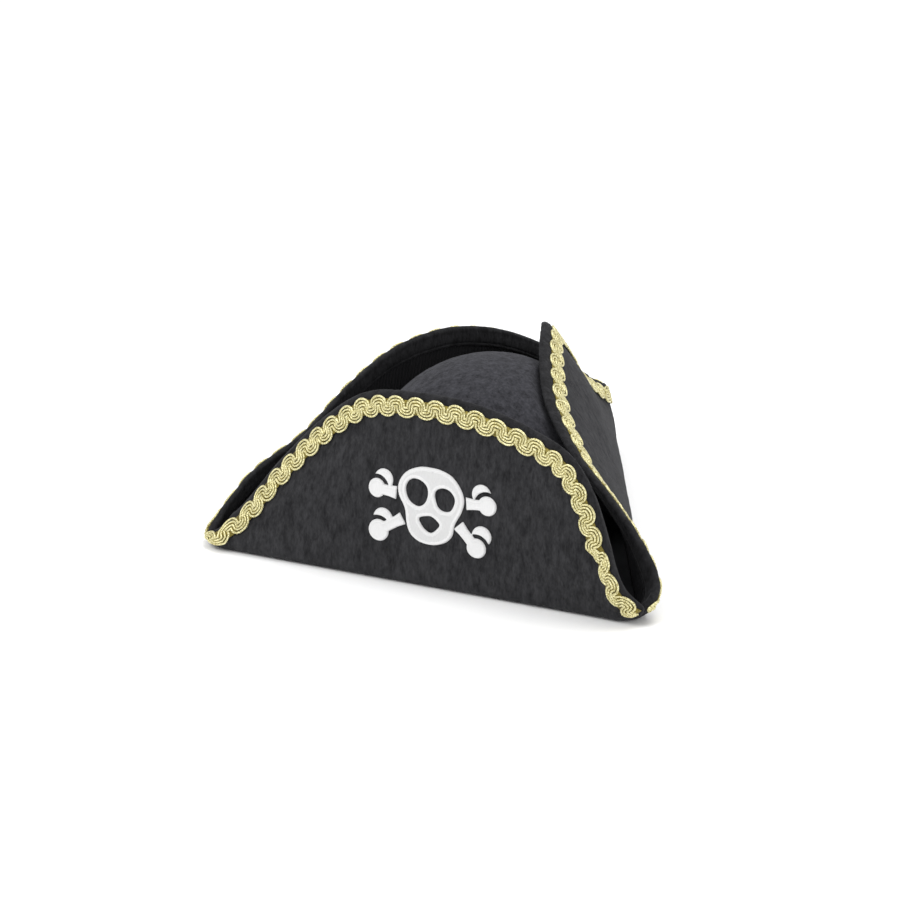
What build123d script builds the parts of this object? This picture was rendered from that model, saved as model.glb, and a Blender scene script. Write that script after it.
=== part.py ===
from build123d import *
import math
import os

# Small plush tricorn hat. Millimetres, +Z up. The origin is the centre of the head opening, on the plane
# that the hat rests on; -Y is the front, where the emblem is. A flap is described along its own fold:
# "along" runs from one tip to the next, "lean" is outward from the fold and "up" is the height.

# Driving dimensions
TIP_RADIUS = 12.0                  # corner radius of the folded brim, seen from above
TIP_CENTRES = {"left_tip": (-100.5, -58.0), "right_tip": (100.5, -58.0), "back_tip": (3.0, 137.0)}
FLAP_ENDS = {"front": ("left_tip", "right_tip"), "right": ("right_tip", "back_tip"), "left": ("back_tip", "left_tip")}
PLUSH = 1.2                        # short-pile plush with its knitted back
FOAM = 2.3                         # sheet foam between the cloths
LINING = 0.9                       # ribbed knit lining
BOND = 0.1                         # adhesive line between two layers
OVER = 0.3                         # slack between the flap and what is wrapped over it or sewn on it
ROLL = 5.0                         # outer radius of the soft fold along the bottom of a flap
BELLY = 2.5                        # how far a flap bows outward halfway up
CURL = {"front": 1.1, "right": 1.3, "left": 1.1}   # how late a flap turns in: 1 is straight up to its lean
CLEAR = 0.3                        # air between two bodies
BINDING = 1.0                      # plush binding rolled over the free edge
BINDING_DEPTH = 9.0                # how far the binding reaches down both faces
BRAID_WIDTH = 10.0                 # stock 10 mm scroll gimp braid
BRAID_THICKNESS = 1.4
BRAID_DROP = 2.5                   # top of the braid below the free edge
OPENING_RADIUS = 53.0              # clear radius of the head opening inside the sweatband
BAND_THICKNESS = 1.2
BAND_HEIGHT = 22.0
CROWN_RADIUS = 61.0                # outer radius of the crown at its seam
CROWN_HEIGHT = 90.0
CROWN_PLUSH = 1.5
CROWN_FOAM = 1.8
CROWN_LEAN = (5.0, 12.0)           # how far the soft top has moved from over the opening, X and Y
CROWN_GAP = 1.2                    # air between the crown and a flap that leans over it
EMBROIDERY = 1.1                   # height of the satin stitch
STATIONS = 21                      # outlines along a flap
ROWS = 6                           # facets up a flap over its fold
ROLL_ROWS = 3                      # facets round the fold

WALL = PLUSH + FOAM + LINING + 2 * BOND
BONDED_FOAM = PLUSH + BOND
BONDED_LINING = PLUSH + FOAM + 2 * BOND

# Free edge of each flap, over its binding: (along, lean, up)
EDGES = {
    "front": [(-112.9, -1, 7), (-106, -6, 11), (-96, -12, 20), (-77, -17, 45), (-53, -17, 70), (-30, -14, 86),
              (0, -9, 91.5), (30, -6, 91), (60, -3, 84), (80, 1, 76), (92, 3, 60.5), (100, 5, 40), (106, 7, 20),
              (112.7, 6, 9.5)],
    "right": [(-121.2, 6, 9.5), (-115.7, 7, 16), (-108, 1, 28), (-93, -8, 39), (-80, -17, 48), (-59, -32, 62),
              (-37, -41, 76), (-10, -43, 88), (20, -41, 96.5), (42, -38, 89), (65, -32, 70), (85, -24, 54),
              (104, -12, 40), (113, -7.5, 36), (122.1, 0.5, 33)],
    "left": [(-123.5, 0.5, 33), (-105, -7, 43), (-88, -13, 57), (-60, -15, 73), (-36, -15, 82), (-10, -13, 85),
             (19, -11, 79), (46, -11, 64), (68, -10.5, 48), (97, -8.5, 33), (112, -5, 17), (122.8, -1, 7)],
}


def smooth(points, place):
    """Values at a place along a list of (place, value, value) points, on a smooth curve through them."""
    last = len(points) - 2
    i = max(k for k in range(last + 1) if k == 0 or points[k][0] <= place)
    a, b = points[i], points[i + 1]
    step = b[0] - a[0]
    u = (place - a[0]) / step
    before, after = points[max(i - 1, 0)], points[min(i + 2, last + 1)]
    result = []
    for k in (1, 2):
        slope_a = (b[k] - before[k]) / (b[0] - before[0]) * step
        slope_b = (after[k] - a[k]) / (after[0] - a[0]) * step
        value = a[k] * (2 * u**3 - 3 * u**2 + 1) + slope_a * (u**3 - 2 * u**2 + u)
        value += b[k] * (3 * u**2 - 2 * u**3) + slope_b * (u**3 - u**2)
        result.append(value)
    return result


def fold_frame(flap):
    """Middle of a flap's fold line, the direction along it, the outward direction and half its straight length."""
    start, end = (Vector(*TIP_CENTRES[name]) for name in FLAP_ENDS[flap])
    along = (end - start).normalized()
    outward = Vector(along.Y, -along.X)
    return (start + end) * 0.5 + outward * TIP_RADIUS, along, outward, (end - start).length / 2


def station(flap, place):
    """Where the fold is at a place along a flap, and which way is outward there. It turns round the tips."""
    middle, along, outward, half = fold_frame(flap)
    straight = max(-half, min(half, place))
    turn = (place - straight) / TIP_RADIUS
    here = outward * math.cos(turn) + along * math.sin(turn)
    return middle - outward * TIP_RADIUS + along * straight + here * TIP_RADIUS, here


def wall_lean(flap, place, up, depth):
    """How far outward of the fold a flap's surface is, at a height and a depth under its outer face."""
    lean, height = smooth(EDGES[flap], place)
    share = min(max(up - ROLL, 0.0) / (height - ROLL), 1.0)
    tilt = lean * (min(max(up, 0.0) / height, 1.0) if lean > 0 else share ** CURL[flap])
    bow = BELLY * math.sin(math.pi * share) * min(1.0, height / 60)
    if up >= ROLL or depth > WALL:
        return tilt + bow - depth
    return tilt - ROLL + math.sqrt(max((ROLL - depth) ** 2 - (ROLL - up) ** 2, 0.0))


def edge_height(flap, place):
    return smooth(EDGES[flap], place)[1]


def wall_point(flap, place, up, depth):
    fold, outward = station(flap, place)
    spot = fold + outward * wall_lean(flap, place, up, depth)
    return Vector(spot.X, spot.Y, up)


def places(flap):
    """Stations along a flap, closer together round the tips."""
    first, last = EDGES[flap][0][0] + CLEAR / 2, EDGES[flap][-1][0] - CLEAR / 2
    middle, reach = (first + last) / 2, (last - first) / 2
    return [middle - reach * math.cos(math.pi * k / (STATIONS - 1)) for k in range(STATIONS)]


def facets(a, b, c, d):
    """The two triangles between four corners in order."""
    corners = [(a, b, c), (a, c, d)]
    return [Face(Wire.make_polygon(three, close=True)) for three in corners]


def skin(outlines):
    """A closed solid through closed outlines of as many points each. The first and last are flat ends.
    Each facet pair is split from its near lower corner to its far upper one, so that layers nest."""
    faces = [Face(Wire.make_polygon(outlines[0], close=True)), Face(Wire.make_polygon(outlines[-1], close=True))]
    for near, far in zip(outlines, outlines[1:]):
        for k in range(len(near)):
            rising = near[k].Z + far[k].Z >= near[k - 1].Z + far[k - 1].Z
            low, high = (k - 1, k) if rising else (k, k - 1)
            faces += facets(near[low], near[high], far[high], far[low])
    return Solid(Shell(faces))


def wall_face(flap, place, depth, high):
    """Points up one surface of a flap: round the fold, then up to a height. Surfaces at other depths nest in it."""
    turns = [math.pi / 2 * k / ROLL_ROWS for k in range(ROLL_ROWS)]
    heights = [ROLL - (ROLL - depth) * math.cos(turn) for turn in turns]
    heights += [ROLL + (high - ROLL) * k / ROWS for k in range(ROWS + 1)]
    return [wall_point(flap, place, up, depth) for up in heights]


def flap_layer(flap, outer, inner):
    """One cloth or foam layer of a flap, from the fold to just under the binding."""
    outlines = []
    for place in places(flap):
        high = edge_height(flap, place) - BINDING - 2 * OVER
        outlines.append(wall_face(flap, place, outer, high) + wall_face(flap, place, inner, high)[::-1])
    return skin(outlines)


def stitch_bed(flap, outer, inner):
    """The space just over a flap's outer face, where a stitched emblem lies."""
    outlines = []
    for place in places(flap):
        heights = [ROLL + (edge_height(flap, place) - ROLL) * k / ROWS for k in range(ROWS)]
        outside = [wall_point(flap, place, up, outer) for up in heights]
        outlines.append(outside + [wall_point(flap, place, up, inner) for up in heights[::-1]])
    return skin(outlines)


def flap_braid(flap):
    """The gimp braid: a strip that follows the free edge on the outer face, over the binding."""
    inner = -BINDING - 3 * OVER
    outlines = []
    for place in places(flap):
        high = edge_height(flap, place) - BRAID_DROP
        low = max(high - BRAID_WIDTH, BRAID_THICKNESS)
        outside = [wall_point(flap, place, up, inner - BRAID_THICKNESS) for up in (low, (low + high) / 2, high)]
        outlines.append(outside + [wall_point(flap, place, up, inner) for up in (high, (low + high) / 2, low)])
    return skin(outlines)


def binding_outline(flap, place):
    """Closed U outline over the free edge, down both faces."""
    top = edge_height(flap, place)
    under = top - BINDING
    low = max(top - BINDING_DEPTH, min(ROLL, under - 1))
    falls = [low + (under - low) * k / 3 for k in range(4)]
    outer = [wall_point(flap, place, up, -BINDING - OVER) for up in falls]
    over = [wall_point(flap, place, top, depth) for depth in (0.0, WALL)]
    inner = [wall_point(flap, place, up, WALL + BINDING + OVER) for up in falls[::-1]]
    inner_face = [wall_point(flap, place, up, WALL + OVER) for up in falls]
    outer_face = [wall_point(flap, place, up, -OVER) for up in falls[::-1]]
    return outer + over + inner + inner_face + outer_face


def edge_binding(flap):
    """The plush binding rolled over a flap's free edge."""
    return skin([binding_outline(flap, place) for place in places(flap)])


def brim_floor(low, high):
    """One layer of the flat part of the brim, inside the folds and outside the head opening."""
    tips = [centre for centre in TIP_CENTRES.values()]
    outline = offset(Polygon(*tips, align=None), amount=TIP_RADIUS - ROLL - 2 * CLEAR)
    opening = Circle(OPENING_RADIUS + BAND_THICKNESS + 0.2)
    return extrude(Pos(0, 0, low) * (outline - opening), amount=high - low)


def crown_point(angle, up, depth):
    """A point of the crown's wall. The soft top leans, and gives way where a flap leans over it."""
    share = up / CROWN_HEIGHT
    reach = (CROWN_RADIUS - depth) * (1 - (up / (CROWN_HEIGHT - depth)) ** 2.6) ** (1 / 2.2)
    spot = Vector(CROWN_LEAN[0] * share**2, CROWN_LEAN[1] * share**2)
    spot += Vector(reach * math.cos(angle), reach * math.sin(angle))
    for flap in FLAP_ENDS:
        middle, along, outward, half = fold_frame(flap)
        place = (spot - middle).dot(along)
        if abs(place) < half and up < edge_height(flap, place):
            limit = wall_lean(flap, place, up, WALL + BINDING + OVER + CROWN_GAP + depth)
            past = (spot - middle).dot(outward) - limit
            spot -= outward * max(past, 0.0)
    return Vector(spot.X, spot.Y, up)


def crown_rings(depth, low):
    """Rings of points up the crown, at a depth under its outer face."""
    top = CROWN_HEIGHT - depth
    rises = [0.0, 0.2, 0.38, 0.53, 0.66, 0.76, 0.84, 0.9, 0.95, 0.985]
    return [[crown_point(math.tau * k / 24, low + (top - low) * share, depth) for k in range(24)] for share in rises]


def dome_faces(rings, peak):
    """Facets between rings, closed at the top with a fan."""
    faces = []
    for lower, upper in zip(rings, rings[1:]):
        for k in range(len(lower)):
            faces += facets(lower[k - 1], lower[k], upper[k], upper[k - 1])
    top = rings[-1]
    centre = Vector(CROWN_LEAN[0], CROWN_LEAN[1], peak)
    return faces + [Face(Wire.make_polygon((top[k - 1], top[k], centre), close=True)) for k in range(len(top))]


def crown_layer(outer, inner):
    """One layer of the crown, from the brim up. It is open underneath."""
    low = WALL + BOND
    outside, inside = crown_rings(outer, low), crown_rings(inner, low)
    faces = dome_faces(outside, CROWN_HEIGHT - outer) + dome_faces(inside, CROWN_HEIGHT - inner)
    for k in range(len(outside[0])):
        faces += facets(outside[0][k - 1], outside[0][k], inside[0][k], inside[0][k - 1])
    return Solid(Shell(faces))


def ring(radius, thickness, low, high):
    return extrude(Pos(0, 0, low) * (Circle(radius + thickness) - Circle(radius)), amount=high - low)


def care_label():
    """Blank satin label on the crown lining at the back, just over the sweatband."""
    low, high = BAND_HEIGHT + 1, BAND_HEIGHT + 14
    wedge = Polygon((0, 0), (8, 70), (-8, 70), align=None)
    return ring(OPENING_RADIUS + 1.6, 0.4, low, high) & extrude(Pos(0, 0, low) * wedge, amount=high - low)


def bone_end(knob, radius, lobe, lobe_radius, shaft):
    """One bone end: a shaft with a round knob, and a second knob that shows as a crescent past a narrow gap."""
    start = Vector(*shaft)
    way = (Vector(*knob) - start).normalized()
    side = Vector(-way.Y, way.X) * 2.5
    far = Vector(*knob)
    stem = Polygon(*[(p.X, p.Y) for p in (start - side, far - side, far + side, start + side)], align=None)
    crescent = Pos(*lobe) * Circle(lobe_radius) - Pos(*knob) * Circle(radius + 0.9) - offset(stem, amount=0.8)
    return stem + Pos(*knob) * Circle(radius), crescent


def skull_face():
    """The skull's flat outline with its eye sockets and nose."""
    brow = [(3.2, 58.6), (-7.0, 48.5), (-3.0, 37), (-1.0, 28.5), (8, 22.7), (19.5, 26), (22.5, 34.5), (26.9, 46.5)]
    outline = make_face(Spline(*brow, (19.6, 57.6), periodic=True))
    left_eye = Pos(2.8, 46.8) * Ellipse(5.5, 6.4)
    right_eye = Pos(17.1, 45.2) * Ellipse(4.9, 5.6)
    nose = Pos(10.0, 32.7) * Ellipse(5.0, 3.7)
    return outline - left_eye - right_eye - nose


def stitched(faces):
    """Satin stitch on the front flap: flat outlines laid on its curved face."""
    middle = fold_frame("front")[0]
    upright = Plane(origin=(0, middle.Y - 30, 0), x_dir=(1, 0, 0), z_dir=(0, -1, 0))
    lying = stitch_bed("front", -EMBROIDERY - OVER, -OVER)
    return [solid for face in faces for solid in (lying & extrude(upright * face, amount=-60)).solids()]


def write(name, shapes):
    """Writes one node. Its solids stay separate."""
    export_step(Compound(children=[Solid(s.wrapped) for s in shapes], label=name), f"parts/{name}.step")


os.makedirs("parts", exist_ok=True)

write("brim_plush", brim_floor(0, PLUSH).solids())
write("brim_foam", brim_floor(BONDED_FOAM, BONDED_FOAM + FOAM).solids())
write("brim_lining", brim_floor(BONDED_LINING, WALL).solids())

for flap in FLAP_ENDS:
    write(f"{flap}_flap_plush", [flap_layer(flap, 0, PLUSH)])
    write(f"{flap}_flap_foam", [flap_layer(flap, BONDED_FOAM, BONDED_FOAM + FOAM)])
    write(f"{flap}_flap_lining", [flap_layer(flap, BONDED_LINING, WALL)])
    write(f"{flap}_edge_binding", [edge_binding(flap)])
    write(f"{flap}_braid", [flap_braid(flap)])

foam_start = CROWN_PLUSH + BOND
lining_start = foam_start + CROWN_FOAM + BOND
write("crown_plush", [crown_layer(0, CROWN_PLUSH)])
write("crown_foam", [crown_layer(foam_start, foam_start + CROWN_FOAM)])
write("crown_lining", [crown_layer(lining_start, lining_start + LINING)])
write("sweatband", ring(OPENING_RADIUS, BAND_THICKNESS, CLEAR, BAND_HEIGHT).solids())
write("care_label", care_label().solids())

BONES = {
    "bone_upper_left": bone_end((-18.4, 45.0), 4.5, (-15.0, 49.5), 5.0, (-8.0, 44.6)),
    "bone_lower_left": bone_end((-16.7, 25.1), 5.2, (-14.5, 31.0), 5.2, (-4.2, 33.0)),
    "bone_upper_right": bone_end((39.0, 46.2), 4.7, (36.0, 51.0), 4.9, (28.4, 45.5)),
    "bone_lower_right": bone_end((33.6, 24.8), 4.8, (36.2, 31.0), 4.9, (24.6, 34.4)),
}
write("skull", stitched([skull_face()]))
for name, faces in BONES.items():
    write(name, stitched(faces))
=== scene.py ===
import math

import bmesh
import bpy
from mathutils import Matrix, Vector, geometry, noise


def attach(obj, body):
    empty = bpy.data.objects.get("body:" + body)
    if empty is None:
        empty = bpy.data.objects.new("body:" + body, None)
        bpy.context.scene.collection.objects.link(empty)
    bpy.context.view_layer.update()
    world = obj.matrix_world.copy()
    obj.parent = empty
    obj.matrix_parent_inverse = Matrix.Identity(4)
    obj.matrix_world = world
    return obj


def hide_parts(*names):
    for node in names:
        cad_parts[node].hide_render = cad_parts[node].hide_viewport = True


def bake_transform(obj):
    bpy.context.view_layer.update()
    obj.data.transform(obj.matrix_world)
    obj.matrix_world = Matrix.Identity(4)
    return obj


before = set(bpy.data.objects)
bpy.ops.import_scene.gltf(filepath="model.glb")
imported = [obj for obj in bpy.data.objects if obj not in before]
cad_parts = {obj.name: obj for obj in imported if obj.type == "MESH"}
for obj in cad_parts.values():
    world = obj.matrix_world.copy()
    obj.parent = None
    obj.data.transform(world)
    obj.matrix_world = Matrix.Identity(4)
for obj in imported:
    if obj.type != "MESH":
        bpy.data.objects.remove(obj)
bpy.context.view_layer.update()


# ---- Table: a white sweep of paper under soft light, seen through a long lens from the front right.
# The camera stands 1.55 m off, 20 degrees up, and is aimed a little over the brim.
CAMERA_AZIMUTH = math.radians(25.5)
CAMERA_ELEVATION = math.radians(20)
CAMERA_DISTANCE = 1.55
CAMERA_AIM_RIGHT, CAMERA_AIM_UP = -0.012, 0.0415


def linear(code):
    """A hex sRGB colour as the linear RGBA that nodes take."""
    parts = [int(code[k:k + 2], 16) / 255 for k in (1, 3, 5)]
    return [c / 12.92 if c <= 0.04045 else ((c + 0.055) / 1.055) ** 2.4 for c in parts] + [1.0]


def node(material, kind, settings, links=None):
    """Adds a node. Settings are its properties or sockets; links are the sockets that other outputs feed."""
    made = material.node_tree.nodes.new(kind)
    for name, value in settings.items():
        if isinstance(name, str) and hasattr(made, name):
            setattr(made, name, value)
        else:
            made.inputs[name].default_value = value
    for name, output in (links or {}).items():
        material.node_tree.links.new(output, made.inputs[name])
    return made


def new_material(name):
    material = bpy.data.materials.new(name)
    material.use_nodes = True
    material.node_tree.nodes.clear()
    return material


def finished(material, shader):
    """Wires a shader to the material's output."""
    node(material, "ShaderNodeOutputMaterial", {}, {"Surface": shader.outputs[0]})
    return material


sight_back = Vector((
    math.sin(CAMERA_AZIMUTH) * math.cos(CAMERA_ELEVATION),
    -math.cos(CAMERA_AZIMUTH) * math.cos(CAMERA_ELEVATION),
    math.sin(CAMERA_ELEVATION),
))
sight_right = Vector((math.cos(CAMERA_AZIMUTH), math.sin(CAMERA_AZIMUTH), 0))
sight_up = sight_back.cross(sight_right)
camera = bpy.data.objects.new("camera", bpy.data.cameras.new("camera"))
camera.data.sensor_width = 36
camera.data.lens = 128.8
camera_place = sight_right * CAMERA_AIM_RIGHT + sight_up * CAMERA_AIM_UP + sight_back * CAMERA_DISTANCE
camera_turn = Matrix((sight_right, sight_up, sight_back)).transposed().to_4x4()
camera.matrix_world = Matrix.Translation(camera_place) @ camera_turn
bpy.context.scene.collection.objects.link(camera)
bpy.context.scene.camera = camera
bpy.context.scene.view_settings.view_transform = "Standard"

world = bpy.data.worlds.new("white_room")
world.use_nodes = True
world.node_tree.nodes["Background"].inputs["Color"].default_value = linear("#ffffff")
world.node_tree.nodes["Background"].inputs["Strength"].default_value = 0.8
bpy.context.scene.world = world

# Soft boxes: (name, place, width, watts)
SOFT_BOXES = [
    ("key_softbox", Vector((-0.7, -1.1, 1.5)), 0.9, 14),
    ("top_softbox", Vector((0.3, 0.4, 1.6)), 1.2, 14),
    ("side_softbox", Vector((1.4, -0.5, 0.7)), 0.8, 3),
]
for name, place, width, watts in SOFT_BOXES:
    lamp = bpy.data.lights.new(name, "AREA")
    lamp.size = width
    lamp.energy = watts
    box_light = bpy.data.objects.new(name, lamp)
    box_light.matrix_world = Matrix.Translation(place) @ place.to_track_quat("Z", "Y").to_matrix().to_4x4()
    bpy.context.scene.collection.objects.link(box_light)

# Matt white paper: it throws light back up under the brim and keeps only a soft contact shadow.
paper = new_material("matt_white_paper")
grain = node(paper, "ShaderNodeTexNoise", {"Scale": 60.0, "Detail": 2.0})
shade = node(paper, "ShaderNodeMixRGB", {"Color1": linear("#fbfbfb"), "Color2": linear("#fdfdfd")},
             {"Fac": grain.outputs["Fac"]})
finished(paper, node(paper, "ShaderNodeBsdfPrincipled", {"Roughness": 0.9, "Specular IOR Level": 0.1},
                     {"Base Color": shade.outputs[0]}))
bm = bmesh.new()
bmesh.ops.create_grid(bm, x_segments=8, y_segments=8, size=6)
floor_mesh = bpy.data.meshes.new("paper_sweep")
bm.to_mesh(floor_mesh)
bm.free()
floor_mesh.materials.append(paper)
paper_sweep = bpy.data.objects.new("paper_sweep", floor_mesh)
bpy.context.scene.collection.objects.link(paper_sweep)


# ---- Flat brim: three cloths laid on each other round the head opening, inside the folds of the flaps.
# Underneath is black velour, in the middle sheet foam, and on top the ribbed knit that lines the flaps.
def velour_material(name, deep, worn):
    """Polyester velour: a short dense pile, brushed in patches, so it is matt with a soft grey bloom."""
    velour = new_material(name)
    place = node(velour, "ShaderNodeTexCoord", {})
    lie = node(velour, "ShaderNodeMapping", {"Scale": (1.0, 1.0, 0.4)}, {"Vector": place.outputs["Object"]})
    pile_mm, patch_mm, drift_mm = 1.2, 3.4, 28.0
    pile = node(velour, "ShaderNodeTexNoise", {"Scale": 1000 / pile_mm, "Detail": 3.0, "Roughness": 0.65},
                {"Vector": lie.outputs[0]})
    patch = node(velour, "ShaderNodeTexNoise", {"Scale": 1000 / patch_mm, "Detail": 3.0, "Roughness": 0.55},
                 {"Vector": lie.outputs[0]})
    drift = node(velour, "ShaderNodeTexNoise", {"Scale": 1000 / drift_mm, "Detail": 1.0},
                 {"Vector": place.outputs["Object"]})
    mixed = node(velour, "ShaderNodeMath", {"operation": "MULTIPLY_ADD", 1: 0.9},
                 {0: pile.outputs["Fac"], 2: patch.outputs["Fac"]})
    spread = node(velour, "ShaderNodeMapRange", {"From Min": 0.65, "From Max": 1.25},
                  {"Value": mixed.outputs[0]})
    cloth = node(velour, "ShaderNodeMixRGB", {"Color1": linear(deep), "Color2": linear(worn)},
                 {"Fac": spread.outputs[0]})
    level = node(velour, "ShaderNodeMapRange", {"To Min": 0.85, "To Max": 1.15},
                 {"Value": drift.outputs["Fac"]})
    toned = node(velour, "ShaderNodeVectorMath", {"operation": "SCALE"},
                 {0: cloth.outputs[0], "Scale": level.outputs[0]})
    relief = node(velour, "ShaderNodeBump", {"Strength": 0.7, "Distance": 0.0007},
                  {"Height": mixed.outputs[0]})
    pile_shader = node(velour, "ShaderNodeBsdfPrincipled", {
        "Roughness": 0.95, "Specular IOR Level": 0.15, "Sheen Weight": 0.1, "Sheen Roughness": 0.45,
        "Sheen Tint": linear("#b4b4b8"),
    }, {"Base Color": toned.outputs[0], "Normal": relief.outputs[0]})
    return finished(velour, pile_shader)


def ribbed_material(name):
    """Black rib-knit lining: fine lengthwise ribs, so it shows soft stripes and hardly any shine."""
    knit = new_material(name)
    place = node(knit, "ShaderNodeTexCoord", {})
    stitch_mm = 0.9
    stitches = node(knit, "ShaderNodeTexNoise", {"Scale": 1000 / stitch_mm, "Detail": 2.0},
                    {"Vector": place.outputs["Object"]})
    lint = node(knit, "ShaderNodeTexNoise", {"Scale": 90.0, "Detail": 2.0},
                {"Vector": place.outputs["Object"]})
    tone = node(knit, "ShaderNodeMixRGB", {"Color1": linear("#1c1c1d"), "Color2": linear("#303032")},
                {"Fac": lint.outputs["Fac"]})
    relief = node(knit, "ShaderNodeBump", {"Strength": 0.5, "Distance": 0.0003},
                  {"Height": stitches.outputs["Fac"]})
    return finished(knit, node(knit, "ShaderNodeBsdfPrincipled", {
        "Roughness": 0.85, "Specular IOR Level": 0.2, "Sheen Weight": 0.12, "Sheen Tint": linear("#9a9aa2"),
    }, {"Base Color": tone.outputs[0], "Normal": relief.outputs[0]}))


def foam_material():
    """Open-cell polyurethane foam sheet: off-white and matt, with cells about a millimetre across."""
    foam = new_material("polyurethane_foam")
    place = node(foam, "ShaderNodeTexCoord", {})
    cell_mm = 1.0
    cells = node(foam, "ShaderNodeTexVoronoi", {"Scale": 1000 / cell_mm}, {"Vector": place.outputs["Object"]})
    tone = node(foam, "ShaderNodeMixRGB", {"Color1": linear("#a8a69c"), "Color2": linear("#dcdacf")},
                {"Fac": cells.outputs["Distance"]})
    relief = node(foam, "ShaderNodeBump", {"Strength": 0.6, "Distance": 0.0004},
                  {"Height": cells.outputs["Distance"]})
    return finished(foam, node(foam, "ShaderNodeBsdfPrincipled", {
        "Roughness": 0.95, "Specular IOR Level": 0.1,
    }, {"Base Color": tone.outputs[0], "Normal": relief.outputs[0]}))


def refinish(cad_node, material):
    """Gives a CAD node that stays its real finish."""
    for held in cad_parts[cad_node].material_slots:
        held.material = material


brim_velour = velour_material("brim_polyester_velour", "#18181a", "#323234")
rib_knit = ribbed_material("black_rib_knit")
refinish("brim_plush", brim_velour)
refinish("brim_foam", foam_material())
refinish("brim_lining", rib_knit)


# ---- Flaps: velour bonded to sheet foam, turned up from the brim over a soft fold and shaped by hand.
# Each is described along its own fold in mm: "along" from one tip to the next, "lean" outward, "up" the height.
MM = 0.001
TIP_RADIUS = 12.0
TIPS = {"left_tip": (-100.5, -58.0), "right_tip": (100.5, -58.0), "back_tip": (3.0, 137.0)}
FLAP_ENDS = {
    "front": ("left_tip", "right_tip"),
    "right": ("right_tip", "back_tip"),
    "left": ("back_tip", "left_tip"),
}
FOLD_RADIUS = 5.0
BELLY = 2.5
CURL = {"front": 1.1, "right": 1.3, "left": 1.1}
WALL = 4.6
PADDING = 3.6
RIPPLE = 0.9
RIPPLE_END = 123
# Free edge of each flap: (along, lean, up)
EDGES = {
    "front": [(-112.9, -1, 7), (-106, -6, 11), (-96, -12, 20), (-77, -17, 45), (-53, -17, 70), (-30, -14, 86),
              (0, -9, 91.5), (30, -6, 91), (60, -3, 84), (80, 1, 76), (92, 3, 60.5), (100, 5, 40), (106, 7, 20),
              (112.7, 6, 9.5)],
    "right": [(-121.2, 6, 9.5), (-115.7, 7, 16), (-108, 1, 28), (-93, -8, 39), (-80, -17, 48), (-59, -32, 62),
              (-37, -41, 76), (-10, -43, 88), (20, -41, 96.5), (42, -38, 89), (65, -32, 70), (85, -24, 54),
              (104, -12, 40), (113, -7.5, 36), (122.1, 0.5, 33)],
    "left": [(-123.5, 0.5, 33), (-105, -7, 43), (-88, -13, 57), (-60, -15, 73), (-36, -15, 82), (-10, -13, 85),
             (19, -11, 79), (46, -11, 64), (68, -10.5, 48), (97, -8.5, 33), (112, -5, 17), (122.8, -1, 7)],
}


def edge_at(flap, along):
    """Lean and height of a flap's free edge, on a smooth curve through its points."""
    points = EDGES[flap]
    last = len(points) - 2
    i = max(k for k in range(last + 1) if k == 0 or points[k][0] <= along)
    a, b = points[i], points[i + 1]
    before, after = points[max(i - 1, 0)], points[min(i + 2, last + 1)]
    step = b[0] - a[0]
    u = (along - a[0]) / step
    values = []
    for k in (1, 2):
        rise_a = (b[k] - before[k]) / (b[0] - before[0]) * step
        rise_b = (after[k] - a[k]) / (after[0] - a[0]) * step
        values.append(a[k] * (2 * u**3 - 3 * u**2 + 1) + rise_a * (u**3 - 2 * u**2 + u)
                      + b[k] * (3 * u**2 - 2 * u**3) + rise_b * (u**3 - u**2))
    return values


def fold_line(flap):
    """Middle of a flap's fold, the way along it, the way outward, and half its straight length."""
    start, end = (Vector(TIPS[name]) for name in FLAP_ENDS[flap])
    along = (end - start).normalized()
    outward = Vector((along.y, -along.x))
    return (start + end) / 2 + outward * TIP_RADIUS, along, outward, (end - start).length / 2


def fold_place(flap, along):
    """Where the fold is at a place along a flap, and which way is outward there. It turns round the tips."""
    middle, way, outward, half = fold_line(flap)
    straight = max(-half, min(half, along))
    turn = (along - straight) / TIP_RADIUS
    facing = outward * math.cos(turn) + way * math.sin(turn)
    return middle + outward * -TIP_RADIUS + way * straight + facing * TIP_RADIUS, facing


def ripple(flap, along, up):
    """The slight unevenness of cloth that was shaped by hand. It dies out at the tips and at the fold."""
    reach = min(1.0, (1 - abs(along) / RIPPLE_END) * 5) if abs(along) < RIPPLE_END else 0.0
    seed = {"front": 0.0, "right": 7.0, "left": 13.0}[flap]
    return RIPPLE * reach * min(1.0, up / 25) * noise.noise(Vector((along / 30, up / 24, seed)))


def wall_point(flap, along, up, over):
    """A point of a flap in mm, at a height, and "over" its outer face or, if negative, under it."""
    lean, height = edge_at(flap, along)
    share = min(max(up - FOLD_RADIUS, 0.0) / (height - FOLD_RADIUS), 1.0)
    foot_share = min(max(up, 0.0) / height, 1.0)
    tilt = lean * (foot_share if lean > 0 else share ** CURL[flap])
    bow = BELLY * math.sin(math.pi * share) * min(1.0, height / 60)
    fold, facing = fold_place(flap, along)
    if up < FOLD_RADIUS:
        radius = max(FOLD_RADIUS + over, 0.4)
        drop = min(FOLD_RADIUS - up, radius)
        out = tilt - FOLD_RADIUS + math.sqrt(radius**2 - drop**2)
    else:
        out = tilt + bow + over + ripple(flap, along, up)
    spot = fold + facing * out
    return Vector((spot.x, spot.y, up))


def face_heights(radius, top, fold_rows, rows):
    """Heights up one face: closely round the fold, then evenly to the top."""
    turns = [math.pi / 2 * k / fold_rows for k in range(fold_rows)]
    return [FOLD_RADIUS - radius * math.cos(turn) for turn in turns] + \
           [FOLD_RADIUS + (top - FOLD_RADIUS) * k / rows for k in range(rows + 1)]


def stations(flap, step):
    """Places along a flap, evenly spaced, from the bisector of one tip to that of the next."""
    first, last = EDGES[flap][0][0], EDGES[flap][-1][0]
    count = math.ceil((last - first) / step)
    return [first + (last - first) * k / count for k in range(count + 1)]


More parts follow.
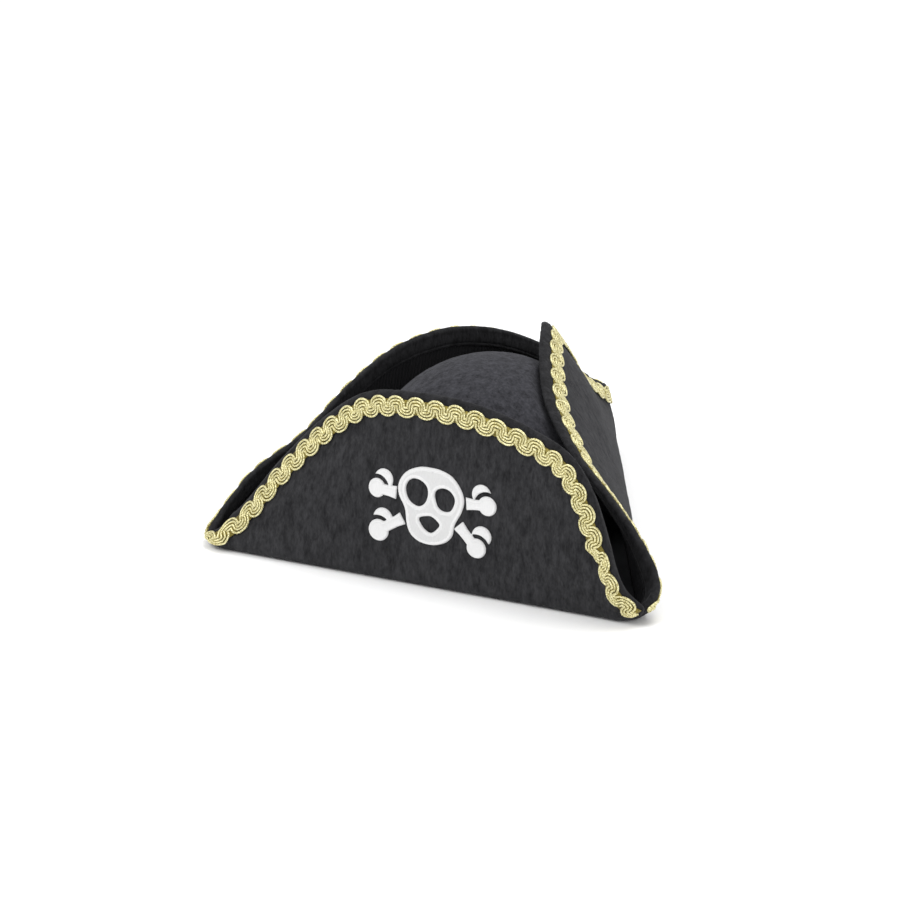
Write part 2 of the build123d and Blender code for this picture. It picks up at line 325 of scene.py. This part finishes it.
def loft(bm, sections):
    """Adds a skin through sections of as many points each, in mm. It wraps round and has its ends filled."""
    columns, rows = len(sections), len(sections[0])
    made = bmesh.ops.create_grid(bm, x_segments=columns - 1, y_segments=rows, size=0.5)
    for vert in made["verts"]:
        column = round((vert.co.x + 0.5) * (columns - 1))
        row = round((vert.co.y + 0.5) * rows)
        vert.co = sections[column][row % rows]
    bmesh.ops.remove_doubles(bm, verts=made["verts"], dist=1e-5)
    left = [v for v in made["verts"] if v.is_valid]
    rims = {e for v in left for e in v.link_edges if e.is_boundary}
    bmesh.ops.holes_fill(bm, edges=list(rims), sides=0)


def made_piece(name, bm, *materials):
    """Turns a form in mm into a finished piece in metres, with its faces outward."""
    bmesh.ops.recalc_face_normals(bm, faces=bm.faces)
    bmesh.ops.scale(bm, vec=(MM, MM, MM), verts=bm.verts)
    mesh = bpy.data.meshes.new(name)
    bm.to_mesh(mesh)
    bm.free()
    for material in materials:
        mesh.materials.append(material)
    for face in mesh.polygons:
        face.use_smooth = True
    piece = bpy.data.objects.new(name, mesh)
    bpy.context.scene.collection.objects.link(piece)
    return piece


def sewn_on(piece, flap, slot, *cad_nodes):
    """Bakes a piece of a flap in place and makes it stand for its CAD nodes, which it hides."""
    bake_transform(piece)
    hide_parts(*cad_nodes)


def pile(spot, facing, depth):
    """Moves a point of the velour by its pile, which stands up in small uneven tufts."""
    tuft = noise.noise(spot / 1.7) + 0.8 * noise.noise(spot / 4.5)
    return spot + facing * (tuft * depth)


RIM_SINK = 5.0
flap_velour = velour_material("flap_polyester_velour", "#19191b", "#363638")
for flap in FLAP_ENDS:
    sections = []
    for along in stations(flap, 1.2):
        top = edge_at(flap, along)[1] - RIM_SINK
        facing = fold_place(flap, along)[1].to_3d()
        outside = [pile(wall_point(flap, along, up, 0), facing, 0.16)
                   for up in face_heights(FOLD_RADIUS, top, 8, 74)]
        inside = [wall_point(flap, along, up, -PADDING)
                  for up in face_heights(FOLD_RADIUS - PADDING, top, 4, 16)]
        sections.append(outside + inside[::-1])
    bm = bmesh.new()
    loft(bm, sections)
    pad = made_piece(f"{flap}_flap_pad", bm, flap_velour)
    sewn_on(pad, flap, "plush", f"{flap}_flap_plush", f"{flap}_flap_foam")


# ---- Flap linings: rib-knit cloth bonded to the inside of each flap, its ribs running up the flap.
# It is cut with the flap, from the sewn-in binding down to the crown.
RIB_PITCH = 1.9
RIB_HEIGHT = 0.32
for flap in FLAP_ENDS:
    sections = []
    for along in stations(flap, RIB_PITCH / 4):
        top = edge_at(flap, along)[1] - RIM_SINK
        rib = RIB_HEIGHT * math.cos(math.tau * along / RIB_PITCH)
        bonded = [wall_point(flap, along, up, -PADDING - 0.1)
                  for up in face_heights(FOLD_RADIUS - PADDING - 0.1, top, 3, 16)]
        ribbed = [wall_point(flap, along, up, -WALL + 0.25 - rib)
                  for up in face_heights(FOLD_RADIUS - WALL + 0.25, top, 3, 16)]
        sections.append(bonded + ribbed[::-1])
    bm = bmesh.new()
    loft(bm, sections)
    lining = made_piece(f"{flap}_flap_lining_cloth", bm, rib_knit)
    sewn_on(lining, flap, "lining", f"{flap}_flap_lining")


# ---- Crown: a soft dome of velour over sheet foam, sewn to the brim round the head opening.
# It stands by its own stiffness, has sunk a little towards the back right, and gives way to the flap there.
CROWN_RADIUS = 61.0
CROWN_HEIGHT = 90.0
CROWN_LEAN = Vector((5.0, 12.0))
CROWN_WALL = 3.4
CROWN_AIR = 2.6


def clear_of_flaps(spot, gap):
    """Moves a point of the crown in, where a flap leans over it."""
    for flap in FLAP_ENDS:
        middle, way, outward, half = fold_line(flap)
        flat = Vector((spot.x, spot.y))
        along = (flat - middle).dot(way)
        if abs(along) < half and spot.z < edge_at(flap, along)[1]:
            wall = wall_point(flap, along, spot.z, -gap)
            past = (flat - Vector((wall.x, wall.y))).dot(outward)
            if past > 0:
                spot = spot - outward.to_3d() * past
    return spot


def crown_form(radius, height, low, columns, rows):
    """A closed dome of cloth in mm, open underneath, as a bmesh."""
    bm = bmesh.new()
    bmesh.ops.create_uvsphere(bm, u_segments=columns, v_segments=rows, radius=1.0)
    lower = [v for v in bm.verts if v.co.z < -1e-4]
    bmesh.ops.delete(bm, geom=lower, context="VERTS")
    for vert in bm.verts:
        rise = max(min(vert.co.z, 1.0), 0.0)
        angle = math.atan2(vert.co.y, vert.co.x)
        reach = radius * math.sqrt(max(1 - rise**2, 0.0)) ** (2 / 2.2)
        up = low + (height - low) * rise ** (2 / 2.6)
        shift = CROWN_LEAN * (up / CROWN_HEIGHT) ** 2
        vert.co = Vector((shift.x + reach * math.cos(angle), shift.y + reach * math.sin(angle), up))
    return bm


# The crown's velour is a lighter copy of the flap velour: painted light on the crown, whose top faces the
# lamps.
crown_velour_painted_light = velour_material("crown_polyester_velour", "#212124", "#404045")
bm = crown_form(CROWN_RADIUS - 1.5, CROWN_HEIGHT - 2.5, WALL, 128, 96)
crown = made_piece("crown_pad", bm, crown_velour_painted_light)
for vert in crown.data.vertices:
    spot = clear_of_flaps(vert.co / MM, WALL + CROWN_AIR)
    vert.co = pile(spot, (spot - Vector((5, 12, 20))).normalized(), 0.14) * MM
thickness = crown.modifiers.new("foam_thickness", "SOLIDIFY")
thickness.thickness = CROWN_WALL * MM
thickness.offset = -1
with bpy.context.temp_override(object=crown, active_object=crown):
    bpy.ops.object.modifier_apply(modifier=thickness.name)
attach(crown, "hat")
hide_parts("crown_plush", "crown_foam")


# ---- Crown lining: a rib-knit cap inside the crown. The woven band round the opening and the blank label
# at the back are sewn to it.
LINING_AIR = 0.4
bm = crown_form(CROWN_RADIUS - CROWN_WALL - LINING_AIR, CROWN_HEIGHT - CROWN_WALL - 3.0, WALL, 128, 48)
for vert in bm.verts:
    vert.co = clear_of_flaps(vert.co, WALL + CROWN_AIR + CROWN_WALL + LINING_AIR)
bmesh.ops.solidify(bm, geom=bm.faces[:], thickness=-0.7)
cap = made_piece("crown_lining_cloth", bm, rib_knit)
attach(cap, "hat")
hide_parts("crown_lining")

# Grosgrain ribbon: crosswise cords about a millimetre apart give it a fine, even rib.
grosgrain = new_material("black_grosgrain")
place = node(grosgrain, "ShaderNodeTexCoord", {})
cord_mm = 1.1
cords = node(grosgrain, "ShaderNodeTexWave", {
    "bands_direction": "Z", "Scale": math.tau / 20 * 1000 / cord_mm, "Distortion": 0.4,
}, {"Vector": place.outputs["Object"]})
tone = node(grosgrain, "ShaderNodeMixRGB", {"Color1": linear("#18181b"), "Color2": linear("#2c2c30")},
            {"Fac": cords.outputs["Fac"]})
relief = node(grosgrain, "ShaderNodeBump", {"Strength": 0.6, "Distance": 0.0003},
              {"Height": cords.outputs["Fac"]})
finished(grosgrain, node(grosgrain, "ShaderNodeBsdfPrincipled", {"Roughness": 0.6, "Sheen Weight": 0.1},
                         {"Base Color": tone.outputs[0], "Normal": relief.outputs[0]}))
refinish("sweatband", grosgrain)

# Acetate satin ribbon: white, smooth and softly glossy, with a trace of its weave.
satin = new_material("white_acetate_satin")
place = node(satin, "ShaderNodeTexCoord", {})
weave = node(satin, "ShaderNodeTexNoise", {"Scale": 1400.0, "Detail": 2.0}, {"Vector": place.outputs["Object"]})
tone = node(satin, "ShaderNodeMixRGB", {"Color1": linear("#e2e1dc"), "Color2": linear("#f1f0ec")},
            {"Fac": weave.outputs["Fac"]})
relief = node(satin, "ShaderNodeBump", {"Strength": 0.3, "Distance": 0.0001},
              {"Height": weave.outputs["Fac"]})
finished(satin, node(satin, "ShaderNodeBsdfPrincipled", {"Roughness": 0.4, "Sheen Weight": 0.2},
                     {"Base Color": tone.outputs[0], "Normal": relief.outputs[0]}))
refinish("care_label", satin)


# ---- Edge binding: a strip of the same velour rolled over the free edge of each flap.
# Outside it is caught under the braid; inside it ends in a turned hem with one row of stitches.
BINDING_DEPTH = 9.5
RIM_OUT, RIM_IN = 0.5, -4.0
RIM_ROUND = 2.6
HEM = 0.7
# The binding's velour is a darker copy of the flap velour: painted shade along the rolled edge.
binding_velour_painted_shade = velour_material("binding_polyester_velour", "#131314", "#2b2b2d")


def binding_section(flap, along):
    """Closed outline of the binding in mm: up the outer face, over the rim, down inside, and back within."""
    top = edge_at(flap, along)[1]
    deep_out = max(top - BINDING_DEPTH, min(4.0, top - 4))
    deep_in = max(top - BINDING_DEPTH, WALL + 0.6)
    round_depth = min(RIM_ROUND, top - deep_in - 0.6)
    middle, half = (RIM_OUT + RIM_IN) / 2, (RIM_OUT - RIM_IN) / 2
    outline = [(deep_out + (top - round_depth - deep_out) * k / 8, RIM_OUT) for k in range(8)]
    for k in range(17):
        turn = math.pi * k / 16
        outline.append((top - round_depth + round_depth * math.sin(turn), middle + half * math.cos(turn)))
    fall = top - round_depth - deep_in
    seam = -WALL - HEM
    outline += [(top - round_depth - fall * k / 8, RIM_IN + (seam - RIM_IN) * math.sin(math.pi / 2 * k / 7))
                for k in range(1, 7)]
    outline += [(deep_in + fall * 0.2, seam + 0.4), (deep_in + fall * 0.12, seam - 0.3),
                (deep_in, seam - 0.25), (deep_in - 0.5, seam + 0.4), (deep_in - 0.2, -WALL)]
    outline += [(top - round_depth, RIM_IN + 0.6), (top - 0.8, middle),
                (top - round_depth, -0.2), (deep_out, -0.2)]
    return outline


for flap in FLAP_ENDS:
    sections = []
    for along in stations(flap, 1.0):
        facing = fold_place(flap, along)[1].to_3d()
        section = []
        for up, over in binding_section(flap, along):
            spot = wall_point(flap, along, min(up, edge_at(flap, along)[1]), over)
            spot.z = up
            way = facing if over > RIM_IN / 2 else -facing
            section.append(pile(spot, way + Vector((0, 0, 0.6)), 0.2))
        sections.append(section)
    bm = bmesh.new()
    loft(bm, sections)
    binding = made_piece(f"{flap}_rolled_binding", bm, binding_velour_painted_shade)
    sewn_on(binding, flap, "plush", f"{flap}_edge_binding")


# ---- Gimp braid: stock 10 mm scroll gimp in pale gold, glued along the free edge over the binding.
# Four metallic cords run side by side in close S-bends on a thin tape, and their bends touch.
BRAID_WIDTH = 10.0
BRAID_DROPS = {"front": 1.4, "right": 1.8, "left": 0.2}
SCROLL = 11.2
CORDS = 4
CORD_RADIUS = 0.58
CORD_SPACING = 1.42
SWING = BRAID_WIDTH / 2 - CORD_SPACING * (CORDS - 1) / 2 - CORD_RADIUS
OVERHANG = 0.95
STEPS = 22
BRAID_LIFT = 0.6
TAPE_SECTION = ((-3.2, 0.45), (0, 0.55), (3.2, 0.45), (3.2, -0.1), (0, -0.1), (-3.2, -0.1))


def gold_material(name, deep, bright):
    """Lurex cord: cotton wrapped in metallised foil, so it glitters in specks from pale gold to bronze."""
    gold = new_material(name)
    place = node(gold, "ShaderNodeTexCoord", {})
    wrap_mm = 0.55
    foil = node(gold, "ShaderNodeTexNoise", {"Scale": 1000 / wrap_mm, "Detail": 2.0, "Roughness": 0.6},
                {"Vector": place.outputs["Object"]})
    contrast = node(gold, "ShaderNodeMapRange", {"From Min": 0.34, "From Max": 0.62},
                    {"Value": foil.outputs["Fac"]})
    tone = node(gold, "ShaderNodeMixRGB", {"Color1": linear(deep), "Color2": linear(bright)},
                {"Fac": contrast.outputs[0]})
    relief = node(gold, "ShaderNodeBump", {"Strength": 0.6, "Distance": 0.0003},
                  {"Height": foil.outputs["Fac"]})
    return finished(gold, node(gold, "ShaderNodeBsdfPrincipled", {"Metallic": 0.55, "Roughness": 0.38},
                               {"Base Color": tone.outputs[0], "Normal": relief.outputs[0]}))


def edge_track(flap):
    """The free edge as (length so far, along, up) at close places, in mm."""
    track, length, last = [], 0.0, None
    for along in stations(flap, 0.5):
        up = edge_at(flap, along)[1]
        spot = wall_point(flap, along, up, BRAID_LIFT)
        length += (spot - last).length if last else 0.0
        last = spot
        track.append((length, along, up))
    return track


def on_braid(flap, track, length, down, lift):
    """A point in mm at a length along the edge, a distance down square to it, and a lift off the cloth."""
    length = min(max(length, 0.0), track[-1][0] - 1e-6)
    i = min(int(length / track[-1][0] * (len(track) - 1)), len(track) - 2)
    while i > 0 and track[i][0] > length:
        i -= 1
    while i < len(track) - 2 and track[i + 1][0] < length:
        i += 1
    share = (length - track[i][0]) / (track[i + 1][0] - track[i][0])
    along = track[i][1] + (track[i + 1][1] - track[i][1]) * share
    lean, up = edge_at(flap, along)
    half = fold_line(flap)[3]
    widening = (TIP_RADIUS + max(lean, 0.0)) / TIP_RADIUS if abs(along) > half else 1.0
    first, last = track[max(i - 9, 0)], track[min(i + 10, len(track) - 1)]
    run, rise = (last[1] - first[1]) * widening, last[2] - first[2]
    size = math.hypot(run, rise)
    down *= min(1.0, (up - 0.9) / (BRAID_DROPS[flap] + BRAID_WIDTH))
    slope = 1 / math.sqrt(1 + (lean / up) ** 2)
    ends = EDGES[flap][0][0], EDGES[flap][-1][0]
    along = min(max(along + down * rise / size / widening, ends[0]), ends[1])
    height = max(up - down * run / size * slope, 0.9)
    rounding = max(0.0, 1 - (up - height) / RIM_ROUND)
    return wall_point(flap, along, height, BRAID_LIFT + lift - 1.6 * (1 - math.sqrt(1 - rounding**2)))


pale_gold = gold_material("pale_gold_lurex", "#8f8237", "#fbf5c4")
# The tape is a darker copy of the gold: painted shade between the cords.
painted_shade_gold = gold_material("gold_tape_painted_shade", "#4b4219", "#8f8136")
for flap in FLAP_ENDS:
    track = edge_track(flap)
    scrolls = round(track[-1][0] / SCROLL)
    pitch = track[-1][0] / scrolls
    bm = bmesh.new()
    for cord in range(CORDS):
        offset = (cord - (CORDS - 1) / 2) * CORD_SPACING
        centre = []
        for step in range(scrolls * STEPS + 1):
            q = math.tau * step / STEPS
            run = pitch * q / math.tau - OVERHANG * math.sin(2 * q) + 1.1 * noise.noise(Vector((q / 9, 2, 0)))
            swing = SWING * math.sin(q) * (1 + 0.1 * noise.noise(Vector((q / 5, 0, 3))))
            run_rate = pitch / math.tau - 2 * OVERHANG * math.cos(2 * q)
            swing_rate = SWING * math.cos(q)
            rate = math.hypot(run_rate, swing_rate)
            across = BRAID_DROPS[flap] + BRAID_WIDTH / 2 - swing - offset * run_rate / rate
            lift = CORD_RADIUS * (1 + 0.5 * math.sin(q + cord * 1.3)) + 0.1 * abs(offset)
            centre.append(on_braid(flap, track, run - offset * swing_rate / rate, across, lift))
        sections = []
        for k, spot in enumerate(centre):
            way = (centre[min(k + 1, len(centre) - 1)] - centre[max(k - 1, 0)]).normalized()
            flat = (spot - Vector((0, 30, spot.z))).normalized()
            side = way.cross(flat).normalized()
            proud = side.cross(way).normalized()
            sections.append([spot + (side * math.cos(turn) + proud * math.sin(turn)) * CORD_RADIUS
                             for turn in (math.tau * n / 6 for n in range(6))])
        loft(bm, sections)
    cord_faces = len(bm.faces)
    tape = []
    for step in range(scrolls * 6 + 1):
        run = pitch * step / 6
        tape.append([on_braid(flap, track, run, BRAID_DROPS[flap] + BRAID_WIDTH / 2 + across, lift)
                     for across, lift in TAPE_SECTION])
    loft(bm, tape)
    bm.faces.ensure_lookup_table()
    for face in bm.faces[cord_faces:]:
        face.material_index = 1
    braid = made_piece(f"{flap}_gimp_braid", bm, pale_gold, painted_shade_gold)
    sewn_on(braid, flap, "braid", f"{flap}_braid")


# ---- Emblem: a skull and four bone ends in white satin stitch on the front flap. The skull has a raised edge.
# Sizes are in mm on the flap: along it from its middle, and up.
SKULL = [(3.2, 58.6), (-3.5, 55.1), (-7.0, 49.4), (-6.4, 43.9), (-3.0, 38.3), (-1.9, 31.1), (0.1, 26.2),
         (5.0, 23.1), (12.2, 22.8), (18.3, 25.2), (21.6, 29.0), (22.7, 34.5), (25.9, 40.8), (27.1, 46.7),
         (25.5, 51.5), (21.4, 56.4), (15.7, 58.8), (10.0, 59.3)]
LEFT_SOCKET = [(-3.1, 47.5), (-2.1, 50.8), (0.7, 52.8), (4.7, 52.4), (7.8, 50.0), (8.5, 46.0),
               (7.1, 42.2), (4.1, 40.3), (0.3, 41.5), (-2.1, 44.1)]
RIGHT_SOCKET = [(12.0, 46.6), (12.8, 49.1), (16.1, 50.7), (20.0, 49.8), (22.3, 46.6), (21.7, 42.9),
                (19.8, 40.2), (16.4, 39.9), (13.9, 41.5), (12.8, 43.9)]
NOSE = [(4.5, 34.7), (7.6, 36.2), (11.2, 36.4), (15.0, 33.4), (13.5, 30.7), (10.9, 28.6), (8.3, 29.3),
        (6.1, 31.3)]
# Bone ends: knob centre and radius, second lobe centre and radius, start of the shaft
BONES = {
    "bone_upper_left": ((-18.4, 45.0), 4.5, (-15.0, 49.5), 5.0, (-8.0, 44.6)),
    "bone_lower_left": ((-16.7, 25.1), 5.2, (-14.5, 31.0), 5.2, (-4.2, 33.0)),
    "bone_upper_right": ((39.0, 46.2), 4.7, (36.0, 51.0), 4.9, (28.4, 45.5)),
    "bone_lower_right": ((33.6, 24.8), 4.8, (36.2, 31.0), 4.9, (24.6, 34.4)),
}
HOOK_GAP = 2.0
STITCH_RISE = 0.55
BORDER_RISE = 0.45
BORDER = 1.5
STITCH_CELL = 0.4


def rounded(points):
    """A smooth closed outline through points, as a list of close points."""
    count = len(points)
    outline = []
    for i in range(count):
        a, b, c, d = (Vector(points[(i + k) % count]) for k in (-1, 0, 1, 2))
        for u in (0, 0.25, 0.5, 0.75):
            outline.append(0.5 * (2 * b + (c - a) * u + (2 * a - 5 * b + 4 * c - d) * u**2
                                  + (3 * b - a - 3 * c + d) * u**3))
    return outline


def inside_outline(spot, outline):
    """Distance from a point to a closed outline, positive inside it."""
    nearest, inside = 1e9, False
    for a, b in zip(outline, outline[1:] + outline[:1]):
        foot, share = geometry.intersect_point_line(spot.to_3d(), a.to_3d(), b.to_3d())
        foot = a if share < 0 else b if share > 1 else foot.to_2d()
        nearest = min(nearest, (spot - foot).length)
        if (a.y > spot.y) != (b.y > spot.y) and spot.x < (b.x - a.x) * (spot.y - a.y) / (b.y - a.y) + a.x:
            inside = not inside
    return nearest if inside else -nearest


def skull_depth(spot):
    """How far a point is inside the skull's stitching."""
    depth = inside_outline(spot, SKULL_OUTLINE)
    if depth < -1.5:
        return depth
    return min([depth] + [-inside_outline(spot, hole) for hole in SKULL_HOLES])


def bone_depth(bone):
    """A function for how far a point is inside one bone end's stitching."""
    knob, knob_radius, lobe, lobe_radius, shaft = (Vector(v) if isinstance(v, tuple) else v for v in bone)
    way = (knob - shaft).normalized()

    def depth(spot):
        along = max(0.0, min((knob - shaft).length, (spot - shaft).dot(way)))
        flare = 2.5 + 0.5 * max(0.0, 1 - along / 4)
        start = (spot - shaft).dot(way)
        stem = min(flare - (spot - shaft - way * along).length, start + 0.2) if start < 1 else \
            flare - (spot - shaft - way * along).length
        knob_end = knob_radius - (spot - knob).length
        crescent = min(lobe_radius - (spot - lobe).length, (spot - knob).length - knob_radius - HOOK_GAP)
        return max(stem, knob_end, crescent)

    return depth


def embroidery(name, depth_at, low, high):
    """Satin stitching over a shape: a raised edge round a flatter fill, laid on the front flap's curve."""
    columns, rows = (math.ceil((high[k] - low[k]) / STITCH_CELL) for k in (0, 1))
    bm = bmesh.new()
    bmesh.ops.create_grid(bm, x_segments=columns, y_segments=rows, size=0.5)
    depths = {}
    for vert in bm.verts:
        vert.co.x = low[0] + (vert.co.x + 0.5) * columns * STITCH_CELL
        vert.co.y = low[1] + (vert.co.y + 0.5) * rows * STITCH_CELL
        depths[vert] = depth_at(vert.co.to_2d())
    outer = [v for v in bm.verts if depths[v] < -0.6 * STITCH_CELL]
    bmesh.ops.delete(bm, geom=outer, context="VERTS")
    loose = [v for v in bm.verts if not v.link_faces]
    bmesh.ops.delete(bm, geom=loose, context="VERTS")
    step = 0.05
    for vert in bm.verts:
        if vert.is_boundary or depths[vert] < 0:
            spot = vert.co.to_2d()
            slope = Vector((depth_at(spot + Vector((step, 0))) - depths[vert],
                            depth_at(spot + Vector((0, step))) - depths[vert]))
            if slope.length > 0:
                spot -= slope.normalized() * max(min(depths[vert], 0.35), -0.5)
            vert.co.x, vert.co.y = spot
            depths[vert] = 0.0
    for face in bm.faces:
        face.material_index = int(name == "skull" and min(depths[v] for v in face.verts) > BORDER)
    made = bmesh.ops.extrude_face_region(bm, geom=bm.faces[:])
    under = {v for v in made["geom"] if isinstance(v, bmesh.types.BMVert)}
    for vert in bm.verts:
        along, up = vert.co.x, vert.co.y
        if vert in under:
            over = -0.3
        else:
            depth = depths[vert]
            crest = 1 - (1 - min(depth / (BORDER / 2), 1.0)) ** 2
            edge = max(0.0, 1 - max(depth - BORDER * 0.6, 0.0) / (BORDER * 0.5))
            thread = 0.05 * math.sin((along + up) * math.tau / 0.95)
            over = 0.15 + STITCH_RISE * crest + BORDER_RISE * crest * min(edge, 1.0) + thread * (1 - edge)
        vert.co = wall_point("front", along, up, over)
    return bm


def thread_material(name, dull, bright):
    """Trilobal polyester thread: white and silky, so each run of satin stitch has its own soft glint."""
    thread = new_material(name)
    place = node(thread, "ShaderNodeTexCoord", {})
    slant = node(thread, "ShaderNodeMapping", {
        "Rotation": (0.0, math.radians(40), 0.0), "Scale": (3.0, 1.0, 0.5),
    }, {"Vector": place.outputs["Object"]})
    run_mm = 0.9
    runs = node(thread, "ShaderNodeTexNoise", {"Scale": 1000 / run_mm, "Detail": 3.0},
                {"Vector": slant.outputs[0]})
    tone = node(thread, "ShaderNodeMixRGB", {"Color1": linear(dull), "Color2": linear(bright)},
                {"Fac": runs.outputs["Fac"]})
    relief = node(thread, "ShaderNodeBump", {"Strength": 0.35, "Distance": 0.0002},
                  {"Height": runs.outputs["Fac"]})
    return finished(thread, node(thread, "ShaderNodeBsdfPrincipled", {
        "Roughness": 0.5, "Specular IOR Level": 0.4, "Sheen Weight": 0.15,
    }, {"Base Color": tone.outputs[0], "Normal": relief.outputs[0]}))


SKULL_OUTLINE = rounded(SKULL)
SKULL_HOLES = [rounded(points) for points in (LEFT_SOCKET, RIGHT_SOCKET, NOSE)]
# The edge thread is a lighter copy of the fill thread: painted highlight on the raised edge of the skull and on
# the bones.
white_thread_painted_highlight = thread_material("white_satin_painted_highlight", "#cfcfcf", "#e1e1e1")
white_fill = thread_material("white_satin_fill", "#bfbfbf", "#d6d6d6")
stitched = {"skull": (skull_depth, (-9, 21), (29, 61))}
for name, bone in BONES.items():
    ends = [bone[0], bone[2], bone[4]]
    low = tuple(min(end[k] for end in ends) - 6.5 for k in (0, 1))
    high = tuple(max(end[k] for end in ends) + 6.5 for k in (0, 1))
    stitched[name] = (bone_depth(bone), low, high)
for name, (depth_at, low, high) in stitched.items():
    emblem = made_piece(f"{name}_satin_stitch", embroidery(name, depth_at, low, high), white_thread_painted_highlight, white_fill)
    sewn_on(emblem, "front", "embroidery", name)
